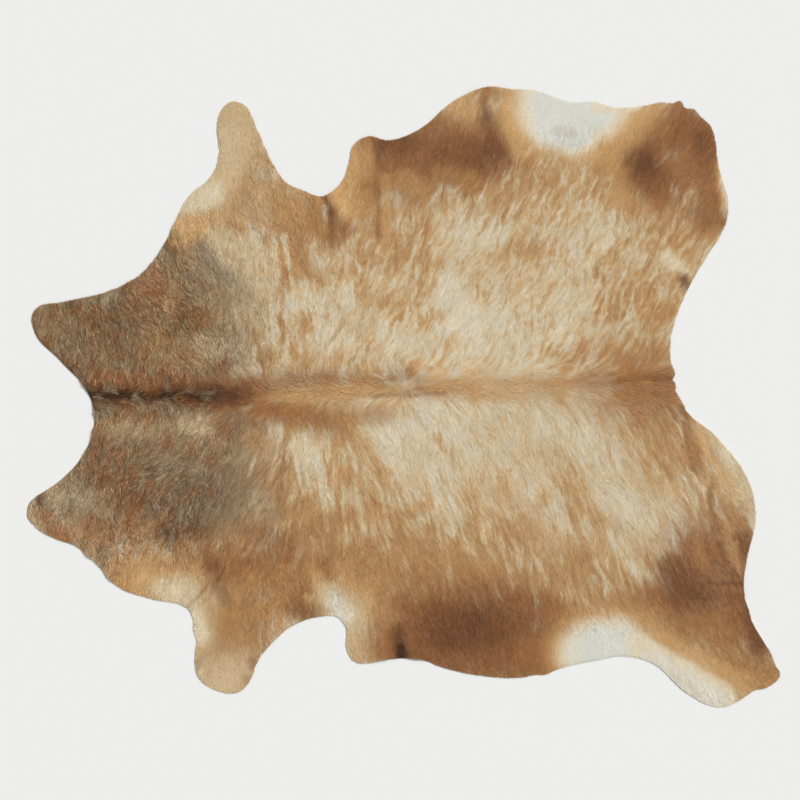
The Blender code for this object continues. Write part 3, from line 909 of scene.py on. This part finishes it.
def root_material(group):
    """Return the leather's finish between the locks: the hair's colour, a fine grain and painted shade."""
    material, tree, shader = new_material("hair_roots", 0.8, 0.2)
    colour = tree.nodes.new("ShaderNodeAttribute")
    colour.attribute_name = "coat"
    place = tree.nodes.new("ShaderNodeTexCoord")
    finer = tree.nodes.new("ShaderNodeMapping")
    finer.inputs["Scale"].default_value = (450.0, 450.0, 450.0)
    hairs = tree.nodes.new("ShaderNodeGroup")
    hairs.node_tree = group
    # How deep the painted shade between the fine hairs is
    hairs.inputs["Depth"].default_value = 0.5
    tree.links.new(place.outputs["Object"], finer.inputs["Vector"])
    tree.links.new(finer.outputs["Vector"], hairs.inputs["Place"])
    tree.links.new(colour.outputs["Color"], hairs.inputs["Colour"])
    tree.links.new(hairs.outputs["Colour"], shader.inputs["Base Color"])
    add_bump(tree, shader, hairs.outputs["Grain"], 0.5, 0.0008)
    return material


def suede_material():
    """Return the finish of the flesh side and the cut edge: pale mottled suede with a soft nap."""
    material, tree, shader = new_material("flesh_side", 0.92, 0.15)
    shader.inputs["Sheen Weight"].default_value = 0.2
    place = tree.nodes.new("ShaderNodeTexCoord")
    clouds = tree.nodes.new("ShaderNodeTexNoise")
    clouds.inputs["Scale"].default_value = 9.0
    clouds.inputs["Detail"].default_value = 6.0
    nap = tree.nodes.new("ShaderNodeTexNoise")
    nap.inputs["Scale"].default_value = 420.0
    nap.inputs["Detail"].default_value = 3.0
    tones = tree.nodes.new("ShaderNodeValToRGB")
    tones.color_ramp.elements[0].position = 0.3
    tones.color_ramp.elements[0].color = (0.50, 0.41, 0.31, 1.0)
    tones.color_ramp.elements[1].position = 0.7
    tones.color_ramp.elements[1].color = (0.66, 0.58, 0.47, 1.0)
    fleck = tree.nodes.new("ShaderNodeMix")
    fleck.data_type = "RGBA"
    fleck.blend_type = "MULTIPLY"
    fleck.inputs["Factor"].default_value = 0.25
    tree.links.new(place.outputs["Object"], clouds.inputs["Vector"])
    tree.links.new(place.outputs["Object"], nap.inputs["Vector"])
    tree.links.new(clouds.outputs["Fac"], tones.inputs["Fac"])
    tree.links.new(tones.outputs["Color"], fleck.inputs["A"])
    tree.links.new(nap.outputs["Color"], fleck.inputs["B"])
    tree.links.new(fleck.outputs["Result"], shader.inputs["Base Color"])
    add_bump(tree, shader, nap.outputs["Fac"], 0.4, 0.0005)
    return material


def new_mesh(name, places, faces):
    """Return a mesh of places and faces, the faces all with the same number of corners."""
    mesh = bpy.data.meshes.new(name)
    corners = faces.shape[1]
    mesh.vertices.add(len(places))
    mesh.vertices.foreach_set("co", places.astype(np.float32).ravel())
    mesh.loops.add(faces.size)
    mesh.loops.foreach_set("vertex_index", faces.astype(np.int32).ravel())
    mesh.polygons.add(len(faces))
    mesh.polygons.foreach_set("loop_start", np.arange(0, faces.size, corners, dtype=np.int32))
    mesh.update(calc_edges=True)
    return mesh


def add_colours(mesh, name, colours):
    """Give each point of a mesh its colour, in an attribute of that name."""
    attribute = mesh.color_attributes.new(name, "FLOAT_COLOR", "POINT")
    full = np.ones((len(colours), 4), dtype=np.float32)
    full[:, :3] = colours
    attribute.data.foreach_set("color", full.ravel())


def table_places(plan):
    """Return places of the model as the tables count them."""
    return plan[:, 0] - TABLE_SHIFT[0], plan[:, 1] - TABLE_SHIFT[1]


upper_height = lift(*table_places(upper)) + LEATHER
under_height = lift(*table_places(under))
sheet_places = np.vstack([np.column_stack([upper, upper_height]),
                          np.column_stack([under, under_height])])
edge_start, edge_end = edge_pieces.T
wall = np.concatenate([
    np.stack([edge_end + len(upper), edge_start + len(upper), edge_start], axis=1),
    np.stack([edge_end + len(upper), edge_start, edge_end], axis=1),
])
sheet_faces = np.concatenate([upper_faces, under_faces[:, ::-1] + len(upper), wall])
hide_mesh = new_mesh("tanned_hide", sheet_places, sheet_faces)
face_numbers = np.arange(len(sheet_faces))
hide_mesh.polygons.foreach_set("use_smooth", face_numbers < len(upper_faces) + len(under_faces))
fine_hairs_and_gap_shade = strand_group()
hide_mesh.materials.append(root_material(fine_hairs_and_gap_shade))
hide_mesh.materials.append(suede_material())
suede_faces = face_numbers >= len(upper_faces)
hide_mesh.polygons.foreach_set("material_index", suede_faces.astype(np.int32))
add_colours(hide_mesh, "coat", read_chart(coat, chart_low, CELL, sheet_places[:, 0], sheet_places[:, 1]))
from_above = bake_places(sheet_places[:, 0], sheet_places[:, 1])[sheet_faces.ravel()]
below = np.repeat(suede_faces, 3)
from_above[below] = from_above[below] * UNDER_CHART_SHARE + UNDER_CHART_PLACE
hide_mesh.uv_layers.new(name="OFBake").data.foreach_set("uv", from_above.astype(np.float32).ravel())
hide = bpy.data.objects.new("tanned_hide", hide_mesh)
bpy.context.scene.collection.objects.link(hide)
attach(hide, "root")
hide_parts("hide")

# The coat's locks
# Short hair in thin pointed locks, rooted in the leather and lying close on it along the coat's lie.
# A lock is a slim kite: a root, two sides at its widest and a tip, bent where it is widest.
LOCKS = 430000
LOCK_WIDTH = 0.0019
WIDEST = 0.42
# How far a lock may reach past the cut edge, and how high its root stands above the leather
OVERHANG = 0.003
ROOT_HEIGHT = 0.0002
# How much locks vary: their turn from the hair's lie, in radians, and their length and width
LOCK_TURN = 0.12
LENGTH_RANGE = (0.75, 1.25)
WIDTH_RANGE = (0.7, 1.3)
# How high a lock's widest place and its tip stand, as shares of its length
RISE_RANGE = (0.03, 0.10)
FALL_RANGE = (0.01, 0.11)
# Painted light on a lock's tip: what its colour is multiplied by there
TIP_PAINTED_LIGHT = 1.04
# How many units of the fine hairs' noise a lock is wide, and how many its slices are spread over
NOISE_ACROSS = 8.0
NOISE_SLICES = 500.0

# What differs between sleek and shaggy hair: how far locks roll, in radians, and curl, as a share of
# their length; what their rise and fall are multiplied by; how much their lightness varies; how
# light their roots are, darkened as painted shade; and the gain on their colour, as shaggy locks
# shade one another more
Trait = namedtuple("Trait", "sleek shaggy")
ROLL = Trait(0.12, 0.62)
CURL = Trait(0.02, 0.16)
STANCE = Trait(0.25, 1.75)
CHANGE = Trait(0.01, 0.17)
ROOT_PAINTED_SHADE = Trait(0.92, 0.70)
GAIN = Trait(0.99, 1.14)
height_chart = lift(chart_x, chart_y) + LEATHER


def by_coarseness(trait, coarse):
    """Return a trait's value for hair between sleek, at 0, and shaggy, at 1."""
    return trait.sleek + (trait.shaggy - trait.sleek) * coarse


def read_coat(chart, places):
    """Return a coat chart's values at places of the model."""
    return read_chart(chart, chart_low, CELL, places[:, 0], places[:, 1])


def lock_roots(count):
    """Return places drawn evenly over the leather's upper face.

    A triangle is drawn by its area, and a place in it by the square root rule for even spread.
    """
    first, second, third = upper[upper_faces].transpose(1, 0, 2)
    areas = 0.5 * np.cross(second - first, third - first)
    picked = draw.choice(len(areas), count, p=areas / areas.sum())
    root, share = np.sqrt(draw.random((count, 1))), draw.random((count, 1))
    return first[picked] * (1 - root) + second[picked] * root * (1 - share) + third[picked] * root * share


def make_locks(roots):
    """Return the places, colours and own coordinates of the locks' four corners.

    From its root a lock runs along the hair's lie by its length, cut short near the cut edge. It is
    widest, and turned about its own line by its roll, at the share WIDEST, and its tip is moved
    aside by its curl. Each corner stands a little above the leather, and more so on shaggy hair.
    """
    count = len(roots)
    coarse = read_coat(coarse_chart, roots)
    lie = np.column_stack([read_coat(hair_x, roots), read_coat(hair_y, roots)])
    turn = draw.normal(0.0, LOCK_TURN, count)
    lie = np.column_stack([lie[:, 0] * np.cos(turn) - lie[:, 1] * np.sin(turn),
                           lie[:, 0] * np.sin(turn) + lie[:, 1] * np.cos(turn)])
    lie /= np.maximum(np.linalg.norm(lie, axis=1), 1e-6)[:, None]
    aside = np.column_stack([-lie[:, 1], lie[:, 0]])
    length = read_coat(length_chart, roots) * MILLIMETRE * draw.uniform(*LENGTH_RANGE, count)
    inside = read_chart(edge_chart, edge_chart_low, EDGE_CELL, *roots.T)
    reached = read_chart(edge_chart, edge_chart_low, EDGE_CELL, *(roots + lie * length[:, None]).T)
    allowed = (np.maximum(inside, 0.0) + OVERHANG) / np.maximum(inside - reached, 1e-4)
    length = length * np.where(reached < -OVERHANG, np.clip(allowed, 0.1, 1.0), 1.0)
    half = LOCK_WIDTH / 2 * draw.uniform(*WIDTH_RANGE, count)
    roll = draw.normal(0.0, 1.0, count) * by_coarseness(ROLL, coarse)
    curl = draw.normal(0.0, 1.0, count) * by_coarseness(CURL, coarse) * length
    flat_side = aside * (half * np.cos(roll))[:, None]
    widest = roots + lie * (WIDEST * length)[:, None]
    tip = roots + lie * length[:, None] + aside * curl[:, None]
    rise = length * draw.uniform(*RISE_RANGE, count) * by_coarseness(STANCE, coarse)
    fall = length * draw.uniform(*FALL_RANGE, count) * by_coarseness(STANCE, coarse)
    base = read_coat(height_chart, roots) + ROOT_HEIGHT
    middle = read_coat(height_chart, widest) + rise
    end = read_coat(height_chart, tip) + fall
    corners = np.empty((count, 4, 3))
    corners[:, 0] = np.column_stack([roots, base])
    corners[:, 1] = np.column_stack([widest + flat_side, middle + half * np.sin(roll)])
    corners[:, 2] = np.column_stack([widest - flat_side, middle - half * np.sin(roll)])
    corners[:, 3] = np.column_stack([tip, end])
    change = draw.normal(0.0, 1.0, count) * by_coarseness(CHANGE, coarse)
    gain = by_coarseness(GAIN, coarse)
    colour = read_coat(coat, roots) * lighter(change[:, None]) * gain[:, None]
    # Painted shade darkens each lock's root, and painted light brightens its tip
    shade = np.ones((count, 4, 1))
    shade[:, 0, 0] = by_coarseness(ROOT_PAINTED_SHADE, coarse)
    shade[:, 3] = TIP_PAINTED_LIGHT
    colours = colour[:, None, :] * shade
    own = np.empty((count, 4, 3))
    own[:, :, 0] = np.array([0.5, 0.0, 1.0, 0.5]) * NOISE_ACROSS
    own[:, :, 1] = [0.0, WIDEST, WIDEST, 1.0]
    own[:, :, 2] = draw.uniform(0.0, NOISE_SLICES, count)[:, None]
    return corners, colours, own


def lock_material(group):
    """Return the hair's finish: the lock's colour, fine hairs with painted shade between, a soft gloss."""
    material, tree, shader = new_material("coat_hair", 0.5, 0.3)
    shader.inputs["Sheen Weight"].default_value = 0.06
    shader.inputs["Sheen Roughness"].default_value = 0.4
    colour = tree.nodes.new("ShaderNodeAttribute")
    colour.attribute_name = "coat"
    place = tree.nodes.new("ShaderNodeAttribute")
    place.attribute_name = "lock_place"
    hairs = tree.nodes.new("ShaderNodeGroup")
    hairs.node_tree = group
    # How deep the painted shade between the fine hairs is
    hairs.inputs["Depth"].default_value = 0.3
    rough = tree.nodes.new("ShaderNodeMapRange")
    rough.inputs["To Min"].default_value = 0.38
    rough.inputs["To Max"].default_value = 0.6
    tree.links.new(place.outputs["Vector"], hairs.inputs["Place"])
    tree.links.new(colour.outputs["Color"], hairs.inputs["Colour"])
    tree.links.new(hairs.outputs["Colour"], shader.inputs["Base Color"])
    tree.links.new(hairs.outputs["Grain"], rough.inputs["Value"])
    tree.links.new(rough.outputs["Result"], shader.inputs["Roughness"])
    add_bump(tree, shader, hairs.outputs["Grain"], 0.35, 0.0004)
    return material


def coat_piece(name, roots, material):
    """Return one region of the coat as a piece: a joined mesh of its locks, two faces to a lock."""
    corners, colours, own = make_locks(roots)
    count = len(roots)
    first = 4 * np.arange(count)[:, None]
    faces = np.concatenate([first + [0, 2, 1], first + [1, 2, 3]], axis=1).reshape(-1, 3)
    places = corners.reshape(-1, 3)
    mesh = new_mesh(name, places, faces)
    add_colours(mesh, "coat", colours.reshape(-1, 3))
    mesh.attributes.new("lock_place", "FLOAT_VECTOR", "POINT").data.foreach_set(
        "vector", own.astype(np.float32).ravel())
    seen = bake_places(places[:, 0], places[:, 1])[faces.ravel()]
    mesh.uv_layers.new(name="OFBake").data.foreach_set("uv", seen.astype(np.float32).ravel())
    mesh.materials.append(material)
    piece = bpy.data.objects.new(name, mesh)
    bpy.context.scene.collection.objects.link(piece)
    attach(piece, "root")
    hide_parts("hide")
    return piece


# The coat's regions, parted across the back and along it so that none holds too many locks
REGION_ENDS = {"fore": (-1.2, -0.38), "middle": (-0.38, 0.36), "hind": (0.36, 1.2)}
roots = lock_roots(LOCKS)
far = roots[:, 1] > read_coat(spine, roots)
hair_finish = lock_material(fine_hairs_and_gap_shade)
for region, (start, end) in REGION_ENDS.items():
    along = (roots[:, 0] >= start) & (roots[:, 0] < end)
    coat_piece(f"coat_{region}_far", roots[along & far], hair_finish)
    coat_piece(f"coat_{region}_near", roots[along & ~far], hair_finish)

# The floor and the light
# A plain pale floor, a soft key light from the picture's upper right, and even light all round. They
# stand for the studio, and are no part of the rug.
FLOOR_HALF = 20.0
FLOOR_TONE = (0.856, 0.856, 0.842, 1.0)
KEY_STRENGTH = 2.6
KEY_SIZE = 0.2
KEY_TURN = (0.0, 0.8, 0.62)
ROUND_LIGHT = 0.42

floor_mesh = bpy.data.meshes.new("floor")
floor_mesh.from_pydata([(-FLOOR_HALF, -FLOOR_HALF, 0.0), (FLOOR_HALF, -FLOOR_HALF, 0.0),
                        (FLOOR_HALF, FLOOR_HALF, 0.0), (-FLOOR_HALF, FLOOR_HALF, 0.0)], [], [(0, 1, 2, 3)])
floor_material, _, floor_shader = new_material("floor", 0.9, 0.1)
floor_shader.inputs["Base Color"].default_value = FLOOR_TONE
floor_mesh.materials.append(floor_material)
floor = bpy.data.objects.new("floor", floor_mesh)
bpy.context.scene.collection.objects.link(floor)

key_light = bpy.data.lights.new("key", "SUN")
key_light.energy = KEY_STRENGTH
key_light.angle = KEY_SIZE
key = bpy.data.objects.new("key", key_light)
key.rotation_euler = KEY_TURN
bpy.context.scene.collection.objects.link(key)
room = bpy.data.worlds.new("room")
room.use_nodes = True
room.node_tree.nodes["Background"].inputs["Color"].default_value = (1.0, 1.0, 1.0, 1.0)
room.node_tree.nodes["Background"].inputs["Strength"].default_value = ROUND_LIGHT
bpy.context.scene.world = room
bpy.context.scene.view_settings.view_transform = "Standard"
